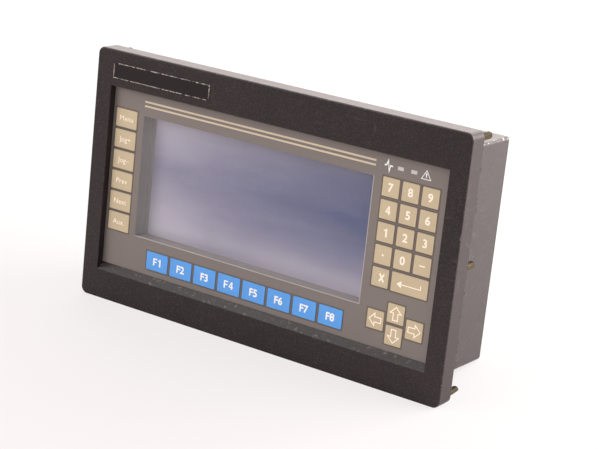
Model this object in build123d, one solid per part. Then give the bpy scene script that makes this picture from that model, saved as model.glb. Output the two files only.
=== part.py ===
from build123d import *
import math
import os

# A flush-mounted keypad operator panel. Millimetres.
# Origin: centre of the bezel's rear face, which seats against the cabinet door.
# +X is to the reader's right, +Y goes back into the cabinet, +Z is up.

# ---- bezel ----
BEZEL_WIDTH = 240.0
BEZEL_HEIGHT = 144.0
BEZEL_DEPTH = 11.5
BEZEL_CORNER_R = 4.0
BEZEL_EDGE_R = 0.9
RIM_EDGE_R = 0.35
SIDE_BORDER = 10.8
TOP_BORDER = 20.4
BOTTOM_BORDER = 20.5
SILL_BORDER = 16.9
RECESS_DEPTH = 4.1
FLOOR_THICKNESS = 2.0

# ---- overlay and keys ----
OVERLAY_THICKNESS = 0.5
OVERLAY_FIT = 0.1
KEY_CLEARANCE = 0.15
KEY_RISE = 0.2
KEY_THICKNESS = 1.55
KEY_CORNER_R = 0.6
KEY_EDGE_R = 0.15
KEY_TRAVEL = 0.4
KEY_STOP_GAP = 0.05
DOME_R = 3.2
DOME_BASE = 0.25

# ---- key blocks, measured from the bezel's lower left corner ----
KEY_PITCH = 11.95
TOP_KEY_HEIGHT = 106.0
MENU_KEY_WIDTH = 14.8
MENU_KEY_GAP = 1.55
MENU_COLUMN = 20.5
MENU_KEYS = ["menu", "jog_plus", "jog_minus", "prev", "next", "aux"]
F_KEY_HEIGHT = 10.5
F_KEY_GAP = 1.73
F_KEY_COUNT = 8
F_KEY_PITCH = 16.73
F_KEY_FIRST = 50.2
F_KEY_ROW = 29.4
PAD_KEY_GAP = 1.85
PAD_COLUMN_GAP = 1.7
PAD_FIRST_COLUMN = 194.7
PAD_PITCH = 11.8
PAD_ROWS = [["7", "8", "9"], ["4", "5", "6"], ["1", "2", "3"], ["point", "0", "minus"]]
ENTER_KEY_GAP = 1.55
ARROW_KEY_GAP = 1.65
ARROW_DROP = 22.8

# ---- window, lamps and badge, measured from the same corner ----
WINDOW_WIDTH = 151.6
WINDOW_HEIGHT = 69.4
WINDOW_LEFT = 32.6
WINDOW_BOTTOM = 40.8
WINDOW_FIT = 0.1
LAMP_SIZE = (3.65, 2.1)
LAMP_THICKNESS = 1.0
LAMP_CENTRES = [(199.1, 116.8), (207.0, 116.8)]
LED_SIZE = (2.0, 1.2)
LED_HEIGHT = 1.0
BADGE_WIDTH = 66.5
BADGE_HEIGHT = 8.6
BADGE_THICKNESS = 0.3
BADGE_LEFT = 12.1
BADGE_DROP = 11.5

# ---- studs and gasket ----
STUD_R = 2.0
STUD_EDGE_X = 4.0
STUD_EDGE_Z = 4.2
STUD_LENGTH = 12.5
STUD_EMBED = 8.0
STUD_TIP = 0.6
STUD_ROOT_R = 2.3
GASKET_THICKNESS = 2.0
GASKET_HOUSING_GAP = 0.4
GASKET_STUD_GAP = 1.0

# ---- rear housing ----
HOUSING_SIDE_MARGIN = 9.8
HOUSING_END_MARGIN = 10.65
HOUSING_DEPTH = 47.3
HOUSING_WALL = 1.5
HOUSING_CORNER_R = 2.0
HOUSING_EDGE_R = 1.2
HOUSING_SCREW_R = 1.5
HOUSING_SCREW_HEAD_R = 3.1
HOUSING_SCREW_HEAD = 2.0
HOUSING_SCREW_GRIP = 8.0

# ---- boards and spacers ----
BOARD_THICKNESS = 1.6
BOARD_SIDE_GAP = 1.7
BOARD_END_GAP = 2.85
SPACER_R = 2.5
SPACER_INSET = 3.5
PIN_R = 1.4
HOLE_CLEARANCE = 0.2

# ---- display module ----
GLASS_SETBACK = 9.0
GLASS_THICKNESS = 3.0
GLASS_LIP = 0.6
GLASS_BORDER_X = 2.2
GLASS_BORDER_Z = 0.4
GLASS_OVERLAP = 2.0
BACKLIGHT_THICKNESS = 5.0
FRAME_BORDER = 7.0
DISPLAY_BOARD_BORDER = 13.2
DISPLAY_SPACER_BORDER = 10.2

# ---- rear connectors ----
PORT_FLANGE_THICKNESS = 1.0
PORT_FLANGE_HEIGHT = 12.5
PORT_SHELL_HEIGHT = 7.9
PORT_SHELL_LENGTH = 5.9
PORT_BODY_DEPTH = 9.7
PORT_SLANT = 10.0
PORT_CORNER_R = 2.0
PORT_PIN_PITCH = 2.76
PORT_PIN_ROW = 2.84
PORT_PIN_R = 0.55
PORT_PIN_DEPTH = 4.0
PORT_ROW_Z = -38.0
PORTS = [
    {"x": 45.0, "shell": 38.4, "flange": 53.0, "screws": 47.0, "pins": 13},
    {"x": -14.0, "shell": 16.3, "flange": 30.8, "screws": 25.0, "pins": 5},
]
JACK_SCREW_R = 1.4
JACK_HEX = 5.0
JACK_LENGTH = 5.0
JACK_GRIP = 4.5
TERMINAL_X = -72.0
TERMINAL_WAYS = 4
TERMINAL_PITCH = 5.08
TERMINAL_HEIGHT = 11.0
TERMINAL_PROUD = 3.0
TERMINAL_FIT = 0.3
WIRE_ENTRY = 2.8
WIRE_DEPTH = 7.0
TERMINAL_SCREW_R = 1.5
TERMINAL_SCREW_DEPTH = 6.0
PLATE_WIDTH = 70.0
PLATE_HEIGHT = 34.0
PLATE_THICKNESS = 0.4
PLATE_CENTRE = (0.0, 14.0)

# ---- pieces on the boards ----
RISER_X = 92.0
RISER_HEIGHT = 44.0
HEADER_DEPTH = 8.0
HEADER_WIDTH = 7.0
HEADER_SLOT_DEPTH = 6.0
HEADER_FIT = 0.05
CELL_R = 7.2
CELL_LENGTH = 25.0
CELL_CENTRE = (92.0, 40.0)
CELL_LIFT = 0.5
TAB_THICKNESS = 0.5
TAB_WIDTH = 5.0
CHIPS = [
    (-12.0, 14.0, 29.0, 29.0, 3.8),
    (30.0, 24.0, 36.0, 13.5, 4.2),
    (30.0, 4.0, 36.0, 13.5, 4.2),
    (-48.0, -12.0, 24.0, 9.0, 3.5),
    (10.0, -24.0, 18.0, 10.0, 2.6),
    (62.0, -20.0, 14.0, 14.0, 9.0),
]

# ---- levels along Y, worked out from the sizes above ----
FRONT = -BEZEL_DEPTH
OVERLAY_FRONT = FRONT + RECESS_DEPTH
FLOOR_FRONT = OVERLAY_FRONT + OVERLAY_THICKNESS
FLOOR_BACK = FLOOR_FRONT + FLOOR_THICKNESS
KEYPAD_BACK = FLOOR_BACK + BOARD_THICKNESS
KEY_FRONT = OVERLAY_FRONT - KEY_RISE
KEY_BACK = KEY_FRONT + KEY_THICKNESS
DOME_TOP = KEY_BACK + KEY_TRAVEL + KEY_STOP_GAP
GLASS_FRONT = OVERLAY_FRONT + GLASS_SETBACK
GLASS_BACK = GLASS_FRONT + GLASS_THICKNESS
BACKLIGHT_BACK = GLASS_BACK + BACKLIGHT_THICKNESS
DISPLAY_BOARD_BACK = BACKLIGHT_BACK + BOARD_THICKNESS
WALL_BACK = HOUSING_DEPTH
WALL_FRONT = WALL_BACK - HOUSING_WALL
FLANGE_FRONT = WALL_FRONT - PORT_FLANGE_THICKNESS
MAIN_BACK = FLANGE_FRONT - PORT_BODY_DEPTH
MAIN_FRONT = MAIN_BACK - BOARD_THICKNESS

# ---- sizes across X and Z ----
HOUSING_WIDTH = BEZEL_WIDTH - 2 * HOUSING_SIDE_MARGIN
HOUSING_HEIGHT = BEZEL_HEIGHT - 2 * HOUSING_END_MARGIN
INNER_WIDTH = HOUSING_WIDTH - 2 * HOUSING_WALL
INNER_HEIGHT = HOUSING_HEIGHT - 2 * HOUSING_WALL
BOARD_WIDTH = INNER_WIDTH - 2 * BOARD_SIDE_GAP
BOARD_HEIGHT = INNER_HEIGHT - 2 * BOARD_END_GAP
RECESS_WIDTH = BEZEL_WIDTH - 2 * SIDE_BORDER
RECESS_TOP = BEZEL_HEIGHT / 2 - TOP_BORDER
RECESS_BOTTOM = BOTTOM_BORDER - BEZEL_HEIGHT / 2
SILL_FRONT = SILL_BORDER - BEZEL_HEIGHT / 2
RECESS_HEIGHT = RECESS_TOP - RECESS_BOTTOM
RECESS_MIDDLE = (RECESS_TOP + RECESS_BOTTOM) / 2
SPACER_X = BOARD_WIDTH / 2 - SPACER_INSET
SPACER_Z = BOARD_HEIGHT / 2 - SPACER_INSET
STUD_X = BEZEL_WIDTH / 2 - STUD_EDGE_X
STUD_Z = BEZEL_HEIGHT / 2 - STUD_EDGE_Z


def from_corner(point):
    """A point measured from the bezel's lower left corner, as (x, z) about the origin."""
    return (point[0] - BEZEL_WIDTH / 2, point[1] - BEZEL_HEIGHT / 2)


WINDOW_CENTRE = from_corner((WINDOW_LEFT + WINDOW_WIDTH / 2, WINDOW_BOTTOM + WINDOW_HEIGHT / 2))
LAMPS = [from_corner(centre) for centre in LAMP_CENTRES]
SPACER_POINTS = [(x, z) for x in (-SPACER_X, SPACER_X) for z in (-SPACER_Z, SPACER_Z)]
STUD_POINTS = [(x, z) for x in (-STUD_X, STUD_X) for z in (-STUD_Z, 0.0, STUD_Z)]


def display_spacer_points():
    """The four spacers that carry the display board, outside the display frame."""
    half_width = WINDOW_WIDTH / 2 + DISPLAY_SPACER_BORDER
    half_height = WINDOW_HEIGHT / 2 + DISPLAY_SPACER_BORDER
    centre_x, centre_z = WINDOW_CENTRE
    return [(centre_x + sx * half_width, centre_z + sz * half_height) for sx in (-1, 1) for sz in (-1, 1)]


def slab(width, height, front, back, centre=(0.0, 0.0)):
    """A square-cornered plate facing the reader, between two Y levels."""
    return Pos(centre[0], (front + back) / 2, centre[1]) * Box(width, back - front, height)


def plate(width, height, front, back, radius, centre=(0.0, 0.0)):
    """A plate with rounded corners facing the reader, between two Y levels."""
    plane = Plane(origin=(centre[0], back, centre[1]), x_dir=(1, 0, 0), z_dir=(0, -1, 0))
    return extrude(plane * RectangleRounded(width, height, radius), back - front)


def rod(radius, front, back, centre):
    """A round bar along Y."""
    return Pos(centre[0], (front + back) / 2, centre[1]) * Rot(90, 0, 0) * Cylinder(radius, back - front)


def hexagon(across_flats, front, back, centre):
    """A hexagonal bar along Y."""
    plane = Plane(origin=(centre[0], back, centre[1]), x_dir=(1, 0, 0), z_dir=(0, -1, 0))
    return extrude(plane * RegularPolygon(across_flats / 2, 6, major_radius=False), back - front)


def front_edges(solid):
    return solid.faces().sort_by(Axis.Y)[0].edges()


def back_edges(solid):
    return solid.faces().sort_by(Axis.Y)[-1].edges()


def key_table():
    """Every key as (name, centre, size). A key is as large as its pitch less its gap."""
    keys = []
    menu_size = (MENU_KEY_WIDTH, KEY_PITCH - MENU_KEY_GAP)
    f_size = (F_KEY_PITCH - F_KEY_GAP, F_KEY_HEIGHT)
    pad_width = PAD_PITCH - PAD_COLUMN_GAP
    pad_size = (pad_width, KEY_PITCH - PAD_KEY_GAP)
    enter_size = (pad_width + PAD_PITCH, KEY_PITCH - ENTER_KEY_GAP)
    arrow_size = (pad_width, KEY_PITCH - ARROW_KEY_GAP)
    for row, name in enumerate(MENU_KEYS):
        keys.append((name, (MENU_COLUMN, TOP_KEY_HEIGHT - row * KEY_PITCH), menu_size))
    for index in range(F_KEY_COUNT):
        keys.append((f"f{index + 1}", (F_KEY_FIRST + index * F_KEY_PITCH, F_KEY_ROW), f_size))
    for row, names in enumerate(PAD_ROWS):
        for column, name in enumerate(names):
            centre = (PAD_FIRST_COLUMN + column * PAD_PITCH, TOP_KEY_HEIGHT - row * KEY_PITCH)
            keys.append((name, centre, pad_size))
    last_row = TOP_KEY_HEIGHT - len(PAD_ROWS) * KEY_PITCH
    middle_column = PAD_FIRST_COLUMN + PAD_PITCH
    keys.append(("clear", (PAD_FIRST_COLUMN, last_row), pad_size))
    keys.append(("enter", (middle_column + PAD_PITCH / 2, last_row), enter_size))
    for name, column, rise in (("left", -1, 0), ("up", 0, 0.5), ("down", 0, -0.5), ("right", 1, 0)):
        centre = (middle_column + column * PAD_PITCH, last_row - ARROW_DROP + rise * KEY_PITCH)
        keys.append((name, centre, arrow_size))
    return [(f"key_{name}", from_corner(centre), size) for name, centre, size in keys]


KEYS = key_table()


def key_holes(front, back):
    """Cutters for the key openings, a clearance larger than the keys."""
    extra = 2 * KEY_CLEARANCE
    radius = KEY_CORNER_R + KEY_CLEARANCE
    return [plate(w + extra, h + extra, front, back, radius, centre) for _, centre, (w, h) in KEYS]


def lamp_holes(front, back):
    return [slab(LAMP_SIZE[0], LAMP_SIZE[1], front, back, lamp) for lamp in LAMPS]


def window_hole(front, back):
    return slab(WINDOW_WIDTH, WINDOW_HEIGHT, front, back, WINDOW_CENTRE)


def recess_cutter():
    """The front recess: square walls on three sides and a sloping sill along the bottom."""
    outline = Polyline(
        (0, FRONT - 1, SILL_FRONT - (RECESS_BOTTOM - SILL_FRONT) / RECESS_DEPTH),
        (0, OVERLAY_FRONT, RECESS_BOTTOM),
        (0, FLOOR_FRONT, RECESS_BOTTOM),
        (0, FLOOR_FRONT, RECESS_TOP),
        (0, FRONT - 1, RECESS_TOP),
        close=True,
    )
    return extrude(Pos(-RECESS_WIDTH / 2, 0, 0) * make_face(outline), RECESS_WIDTH, dir=(1, 0, 0))


def bezel():
    body = plate(BEZEL_WIDTH, BEZEL_HEIGHT, FRONT, 0, BEZEL_CORNER_R)
    body = fillet(front_edges(body), BEZEL_EDGE_R)
    body -= recess_cutter()
    rim = body.edges().filter_by_position(Axis.Y, FRONT - 0.01, FRONT + 0.01)
    inner_rim = [edge for edge in rim if abs(edge.center().X) < BEZEL_WIDTH / 2 - BEZEL_CORNER_R
                 and SILL_FRONT - 1 < edge.center().Z < RECESS_TOP + 1]
    body = fillet(inner_rim, RIM_EDGE_R)
    body -= slab(INNER_WIDTH, INNER_HEIGHT, FLOOR_BACK, 1)
    body -= window_hole(FLOOR_FRONT - 1, FLOOR_BACK + 1)
    body -= key_holes(FLOOR_FRONT - 1, FLOOR_BACK + 1)
    body -= lamp_holes(FLOOR_FRONT - 1, FLOOR_BACK + 1)
    body -= [rod(STUD_ROOT_R, -STUD_EMBED, 1, point) for point in STUD_POINTS]
    return body


def name_badge():
    centre = from_corner((BADGE_LEFT + BADGE_WIDTH / 2, BEZEL_HEIGHT - BADGE_DROP))
    return slab(BADGE_WIDTH, BADGE_HEIGHT, FRONT - BADGE_THICKNESS, FRONT, centre)


def panel_gasket():
    """A foam ring around the housing, inside the line of studs."""
    outer_width = 2 * (STUD_X - STUD_R - GASKET_STUD_GAP)
    outer_height = 2 * (STUD_Z - STUD_R - GASKET_STUD_GAP)
    ring = plate(outer_width, outer_height, 0, GASKET_THICKNESS, HOUSING_CORNER_R + 1)
    extra = 2 * GASKET_HOUSING_GAP
    hole = plate(HOUSING_WIDTH + extra, HOUSING_HEIGHT + extra, -1, GASKET_THICKNESS + 1, HOUSING_CORNER_R)
    return ring - hole


def stud(point):
    """A pressed-in stud: a wider root held in the bezel, and a shank with a chamfered tip."""
    shank = chamfer(back_edges(rod(STUD_R, 0, STUD_LENGTH, point)), STUD_TIP)
    return shank + rod(STUD_ROOT_R, -STUD_EMBED, 0, point)


def mounting_studs():
    return [stud(point) for point in STUD_POINTS]


def keypad_overlay():
    width = RECESS_WIDTH - 2 * OVERLAY_FIT
    height = RECESS_HEIGHT - 2 * OVERLAY_FIT
    sheet = slab(width, height, OVERLAY_FRONT, FLOOR_FRONT, (0.0, RECESS_MIDDLE))
    sheet -= window_hole(OVERLAY_FRONT - 1, FLOOR_FRONT + 1)
    sheet -= key_holes(OVERLAY_FRONT - 1, FLOOR_FRONT + 1)
    return sheet - lamp_holes(OVERLAY_FRONT - 1, FLOOR_FRONT + 1)


def display_window():
    width = WINDOW_WIDTH - 2 * WINDOW_FIT
    height = WINDOW_HEIGHT - 2 * WINDOW_FIT
    return slab(width, height, OVERLAY_FRONT, FLOOR_BACK, WINDOW_CENTRE)


def lamp_lenses():
    fit = 2 * WINDOW_FIT
    back = OVERLAY_FRONT + LAMP_THICKNESS
    return [slab(LAMP_SIZE[0] - fit, LAMP_SIZE[1] - fit, OVERLAY_FRONT, back, lamp) for lamp in LAMPS]


def key(centre, size):
    body = plate(size[0], size[1], KEY_FRONT, KEY_BACK, KEY_CORNER_R, centre)
    return fillet(front_edges(body), KEY_EDGE_R)


def dome_centres(centre, size):
    """A wide key has two domes under it, and any other key has one."""
    if size[0] < 1.5 * size[1]:
        return [centre]
    return [(centre[0] - size[0] / 4, centre[1]), (centre[0] + size[0] / 4, centre[1])]


def switch_dome(centre):
    """A snap dome: a short foot and a domed cap, flat where the key lands."""
    rise = FLOOR_BACK - DOME_TOP
    foot = rod(DOME_R, FLOOR_BACK - DOME_BASE, FLOOR_BACK, centre)
    crown = Cone(DOME_R, DOME_R * 0.45, rise - DOME_BASE)
    middle = DOME_TOP + (rise - DOME_BASE) / 2
    return foot + Pos(centre[0], middle, centre[1]) * Rot(90, 0, 0) * crown


def switch_domes():
    return [switch_dome(point) for _, centre, size in KEYS for point in dome_centres(centre, size)]


def keypad_board():
    board = slab(BOARD_WIDTH, BOARD_HEIGHT, FLOOR_BACK, KEYPAD_BACK)
    board -= window_hole(FLOOR_BACK - 1, KEYPAD_BACK + 1)
    hole_r = SPACER_R + HOLE_CLEARANCE
    return board - [rod(hole_r, FLOOR_BACK - 1, KEYPAD_BACK + 1, point) for point in SPACER_POINTS]


def indicator_leds():
    return [slab(LED_SIZE[0], LED_SIZE[1], FLOOR_BACK - LED_HEIGHT, FLOOR_BACK, lamp) for lamp in LAMPS]


def display_frame():
    """A deep frame: the well behind the window, a lip over the glass and a pocket behind it."""
    outer = (WINDOW_WIDTH + 2 * FRAME_BORDER, WINDOW_HEIGHT + 2 * FRAME_BORDER)
    lip_front = GLASS_FRONT - GLASS_LIP
    view = (WINDOW_WIDTH - 2 * GLASS_BORDER_X, WINDOW_HEIGHT - 2 * GLASS_BORDER_Z)
    frame = slab(outer[0], outer[1], KEYPAD_BACK, BACKLIGHT_BACK, WINDOW_CENTRE)
    frame -= slab(WINDOW_WIDTH, WINDOW_HEIGHT, KEYPAD_BACK - 1, lip_front, WINDOW_CENTRE)
    frame -= slab(view[0], view[1], lip_front - 1, GLASS_FRONT + 1, WINDOW_CENTRE)
    pocket = glass_size()
    return frame - slab(pocket[0], pocket[1], GLASS_FRONT, BACKLIGHT_BACK + 1, WINDOW_CENTRE)


def glass_size():
    width = WINDOW_WIDTH - 2 * GLASS_BORDER_X + 2 * GLASS_OVERLAP
    height = WINDOW_HEIGHT - 2 * GLASS_BORDER_Z + 2 * GLASS_OVERLAP
    return (width, height)


def display_glass():
    width, height = glass_size()
    return slab(width, height, GLASS_FRONT, GLASS_BACK, WINDOW_CENTRE)


def backlight():
    width, height = glass_size()
    return slab(width, height, GLASS_BACK, BACKLIGHT_BACK, WINDOW_CENTRE)


def display_board():
    width = WINDOW_WIDTH + 2 * DISPLAY_BOARD_BORDER
    height = WINDOW_HEIGHT + 2 * DISPLAY_BOARD_BORDER
    board = slab(width, height, BACKLIGHT_BACK, DISPLAY_BOARD_BACK, WINDOW_CENTRE)
    hole_r = PIN_R + HOLE_CLEARANCE
    holes = [rod(hole_r, BACKLIGHT_BACK - 1, DISPLAY_BOARD_BACK + 1, p) for p in display_spacer_points()]
    return board - holes


def pinned_spacer(front, seat, board_back, point):
    """A round spacer with a pin through the board that it carries, and a swaged head behind."""
    body = rod(SPACER_R, front, seat, point)
    body += rod(PIN_R, seat, board_back, point)
    return body + rod(SPACER_R, board_back, board_back + 1, point)


def display_spacers():
    points = display_spacer_points()
    return [pinned_spacer(KEYPAD_BACK, BACKLIGHT_BACK, DISPLAY_BOARD_BACK, point) for point in points]


def front_spacer(point):
    return rod(SPACER_R, FLOOR_BACK, MAIN_FRONT, point) + rod(PIN_R, MAIN_FRONT, MAIN_BACK, point)


def back_spacer(point):
    """The spacer between the main board and the back wall, tapped for the housing screw."""
    body = rod(SPACER_R, MAIN_BACK, WALL_FRONT, point)
    return body - rod(HOUSING_SCREW_R, WALL_FRONT - HOUSING_SCREW_GRIP - 0.5, WALL_FRONT + 1, point)


def board_spacers():
    return [front_spacer(p) for p in SPACER_POINTS] + [back_spacer(p) for p in SPACER_POINTS]


def main_board():
    board = slab(BOARD_WIDTH, BOARD_HEIGHT, MAIN_FRONT, MAIN_BACK)
    hole_r = PIN_R + HOLE_CLEARANCE
    return board - [rod(hole_r, MAIN_FRONT - 1, MAIN_BACK + 1, point) for point in SPACER_POINTS]


def board_chips():
    return [slab(w, h, MAIN_FRONT - tall, MAIN_FRONT, (x, z)) for x, z, w, h, tall in CHIPS]


def riser_board():
    """The upright board that links the keypad board to the main board."""
    front = KEYPAD_BACK + HEADER_DEPTH - HEADER_SLOT_DEPTH
    back = MAIN_FRONT - HEADER_DEPTH + HEADER_SLOT_DEPTH
    return slab(BOARD_THICKNESS, RISER_HEIGHT, front, back, (RISER_X, 0.0))


def header(front, back, slot_front, slot_back):
    body = slab(HEADER_WIDTH, RISER_HEIGHT + 4, front, back, (RISER_X, 0.0))
    slot = BOARD_THICKNESS + 2 * HEADER_FIT
    return body - slab(slot, RISER_HEIGHT + 2 * HEADER_FIT, slot_front, slot_back, (RISER_X, 0.0))


def board_headers():
    near_back = KEYPAD_BACK + HEADER_DEPTH
    far_front = MAIN_FRONT - HEADER_DEPTH
    near = header(KEYPAD_BACK, near_back, near_back - HEADER_SLOT_DEPTH, near_back + 1)
    far = header(far_front, MAIN_FRONT, far_front - 1, far_front + HEADER_SLOT_DEPTH)
    return [near, far]


def backup_battery():
    """A lithium cell lying along X, held off the main board by a tab at each end."""
    axis_y = MAIN_FRONT - CELL_LIFT - CELL_R
    x, z = CELL_CENTRE
    cell = Pos(x, axis_y, z) * Rot(0, 90, 0) * Cylinder(CELL_R, CELL_LENGTH)
    offset = CELL_LENGTH / 2 + TAB_THICKNESS / 2
    middle = (axis_y + MAIN_FRONT) / 2
    for side in (-1, 1):
        cell += Pos(x + side * offset, middle, z) * Box(TAB_THICKNESS, MAIN_FRONT - axis_y, TAB_WIDTH)
    return cell


def port_outline(width, height, radius, point, level):
    """The slant-sided outline of a D-shaped connector, wider at the top."""
    lean = height * math.tan(math.radians(PORT_SLANT))
    plane = Plane(origin=(point[0], level, point[1]), x_dir=(1, 0, 0), z_dir=(0, -1, 0))
    corners = [(-width / 2, height / 2), (width / 2, height / 2),
               (width / 2 - lean, -height / 2), (-width / 2 + lean, -height / 2)]
    face = make_face(Polyline(*corners, close=True))
    return plane * fillet(face.vertices(), radius)


def port_screw_points(port):
    return [(port["x"] + side * port["screws"] / 2, PORT_ROW_Z) for side in (-1, 1)]


def port_pin_points(port):
    """Two rows of sockets, the lower row one short and half a pitch across."""
    points = []
    for row, count in ((0.5, port["pins"]), (-0.5, port["pins"] - 1)):
        first = port["x"] - (count - 1) * PORT_PIN_PITCH / 2
        points += [(first + i * PORT_PIN_PITCH, PORT_ROW_Z + row * PORT_PIN_ROW) for i in range(count)]
    return points


def serial_port(port):
    centre = (port["x"], PORT_ROW_Z)
    shell_back = WALL_FRONT + PORT_SHELL_LENGTH
    body = slab(port["shell"] + 1, PORT_FLANGE_HEIGHT - 2, MAIN_BACK, FLANGE_FRONT, centre)
    body += slab(port["flange"], PORT_FLANGE_HEIGHT, FLANGE_FRONT, WALL_FRONT, centre)
    outline = port_outline(port["shell"], PORT_SHELL_HEIGHT, PORT_CORNER_R, centre, shell_back)
    body += extrude(outline, PORT_SHELL_LENGTH)
    body -= [rod(JACK_SCREW_R, FLANGE_FRONT - 1, WALL_FRONT + 1, p) for p in port_screw_points(port)]
    socket_front = shell_back - PORT_PIN_DEPTH
    return body - [rod(PORT_PIN_R, socket_front, shell_back + 1, p) for p in port_pin_points(port)]


def serial_ports():
    return [serial_port(port) for port in PORTS]


def jack_screw(point):
    body = hexagon(JACK_HEX, WALL_BACK, WALL_BACK + JACK_LENGTH, point)
    body += rod(JACK_SCREW_R, WALL_BACK - JACK_GRIP, WALL_BACK, point)
    return body - rod(JACK_SCREW_R, WALL_BACK + 1, WALL_BACK + JACK_LENGTH + 1, point)


def jack_screws():
    return [jack_screw(point) for port in PORTS for point in port_screw_points(port)]


def terminal_ways():
    first = TERMINAL_X - (TERMINAL_WAYS - 1) * TERMINAL_PITCH / 2
    return [first + index * TERMINAL_PITCH for index in range(TERMINAL_WAYS)]


def terminal_rows():
    """Heights of the screws and of the wire entries below them."""
    return (PORT_ROW_Z + TERMINAL_HEIGHT / 4, PORT_ROW_Z - TERMINAL_HEIGHT / 4)


def power_terminal():
    back = WALL_BACK + TERMINAL_PROUD
    width = TERMINAL_WAYS * TERMINAL_PITCH
    body = slab(width, TERMINAL_HEIGHT, MAIN_BACK, back, (TERMINAL_X, PORT_ROW_Z))
    screw_z, wire_z = terminal_rows()
    for x in terminal_ways():
        body -= rod(TERMINAL_SCREW_R + HOLE_CLEARANCE, back - TERMINAL_SCREW_DEPTH, back + 1, (x, screw_z))
        body -= slab(WIRE_ENTRY, WIRE_ENTRY, back - WIRE_DEPTH, back + 1, (x, wire_z))
    return body


def terminal_screws():
    back = WALL_BACK + TERMINAL_PROUD
    screw_z = terminal_rows()[0]
    screws = []
    for x in terminal_ways():
        screw = rod(TERMINAL_SCREW_R, back - TERMINAL_SCREW_DEPTH, back - 1, (x, screw_z))
        screws.append(screw - slab(2 * TERMINAL_SCREW_R + 1, 0.6, back - 1.7, back, (x, screw_z)))
    return screws


def port_cutters(port):
    """The back wall's opening for one connector's shell, and its two screw holes."""
    fit = 2 * HOLE_CLEARANCE
    centre = (port["x"], PORT_ROW_Z)
    size = (port["shell"] + fit, PORT_SHELL_HEIGHT + fit)
    outline = port_outline(*size, PORT_CORNER_R, centre, WALL_BACK + 1)
    hole_r = JACK_SCREW_R + HOLE_CLEARANCE
    holes = [rod(hole_r, WALL_FRONT - 1, WALL_BACK + 1, point) for point in port_screw_points(port)]
    return [extrude(outline, HOUSING_WALL + 2)] + holes


def rear_housing():
    """A pressed steel box, open towards the bezel."""
    box = plate(HOUSING_WIDTH, HOUSING_HEIGHT, 0, HOUSING_DEPTH, HOUSING_CORNER_R)
    box = fillet(back_edges(box), HOUSING_EDGE_R)
    inner_r = HOUSING_CORNER_R - HOUSING_WALL
    box -= plate(INNER_WIDTH, INNER_HEIGHT, -1, WALL_FRONT, inner_r)
    box -= [cutter for port in PORTS for cutter in port_cutters(port)]
    width = TERMINAL_WAYS * TERMINAL_PITCH + 2 * TERMINAL_FIT
    height = TERMINAL_HEIGHT + 2 * TERMINAL_FIT
    box -= slab(width, height, WALL_FRONT - 1, WALL_BACK + 1, (TERMINAL_X, PORT_ROW_Z))
    hole_r = HOUSING_SCREW_R + HOLE_CLEARANCE
    return box - [rod(hole_r, WALL_FRONT - 1, WALL_BACK + 1, point) for point in SPACER_POINTS]


def housing_screw(point):
    head = rod(HOUSING_SCREW_HEAD_R, WALL_BACK, WALL_BACK + HOUSING_SCREW_HEAD, point)
    head = fillet(back_edges(head), HOUSING_SCREW_HEAD * 0.4)
    head -= slab(3.4, 0.8, WALL_BACK + 0.8, WALL_BACK + 3, point)
    head -= slab(0.8, 3.4, WALL_BACK + 0.8, WALL_BACK + 3, point)
    return head + rod(HOUSING_SCREW_R, WALL_FRONT - HOUSING_SCREW_GRIP, WALL_BACK, point)


def housing_screws():
    return [housing_screw(point) for point in SPACER_POINTS]


def rating_plate():
    return plate(PLATE_WIDTH, PLATE_HEIGHT, WALL_BACK, WALL_BACK + PLATE_THICKNESS, 1.5, PLATE_CENTRE)


def nodes():
    """Every sub-part by name."""
    fixed = [bezel, name_badge, panel_gasket, mounting_studs, keypad_overlay, display_window, lamp_lenses,
             switch_domes, keypad_board, indicator_leds, display_frame, display_glass, backlight,
             display_board, display_spacers, board_spacers, main_board, board_chips, riser_board,
             board_headers, backup_battery, serial_ports, jack_screws, power_terminal, terminal_screws,
             rear_housing, housing_screws, rating_plate]
    built = {make.__name__: make() for make in fixed}
    for name, centre, size in KEYS:
        built[name] = key(centre, size)
    return built


def main():
    os.makedirs("parts", exist_ok=True)
    for name, shape in nodes().items():
        whole = Compound(children=shape) if isinstance(shape, list) else shape
        export_step(whole, f"parts/{name}.step")
        print(name, round(whole.volume), "mm3")


main()
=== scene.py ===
# %% [markdown]
# # A flush-mounted keypad operator panel
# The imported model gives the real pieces, in metres, with the origin at the centre of the bezel's rear face.
# +X is to the reader's right, +Y goes back into the cabinet and +Z is up. This script adds what ink, wear
# and finish need, and leaves every CAD piece where it is.

# %% Load the frame
import math
import random

import bmesh
import bpy
from mathutils import Matrix, Vector


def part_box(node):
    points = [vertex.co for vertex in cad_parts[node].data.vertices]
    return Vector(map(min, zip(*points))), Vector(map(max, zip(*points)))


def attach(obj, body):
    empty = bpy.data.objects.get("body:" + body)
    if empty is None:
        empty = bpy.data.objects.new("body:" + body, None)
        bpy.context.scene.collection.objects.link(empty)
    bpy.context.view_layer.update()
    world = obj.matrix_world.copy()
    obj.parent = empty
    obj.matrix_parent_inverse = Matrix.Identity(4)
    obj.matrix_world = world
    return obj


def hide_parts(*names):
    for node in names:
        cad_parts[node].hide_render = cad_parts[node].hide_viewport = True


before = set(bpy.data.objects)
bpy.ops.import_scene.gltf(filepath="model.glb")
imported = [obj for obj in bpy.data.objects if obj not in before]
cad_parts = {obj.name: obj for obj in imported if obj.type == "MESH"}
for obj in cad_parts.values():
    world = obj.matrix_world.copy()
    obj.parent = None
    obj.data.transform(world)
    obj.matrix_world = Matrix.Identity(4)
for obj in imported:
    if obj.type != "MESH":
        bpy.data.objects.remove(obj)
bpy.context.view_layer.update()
MM = 0.001
PANEL = "panel"
random.seed(7)

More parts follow.
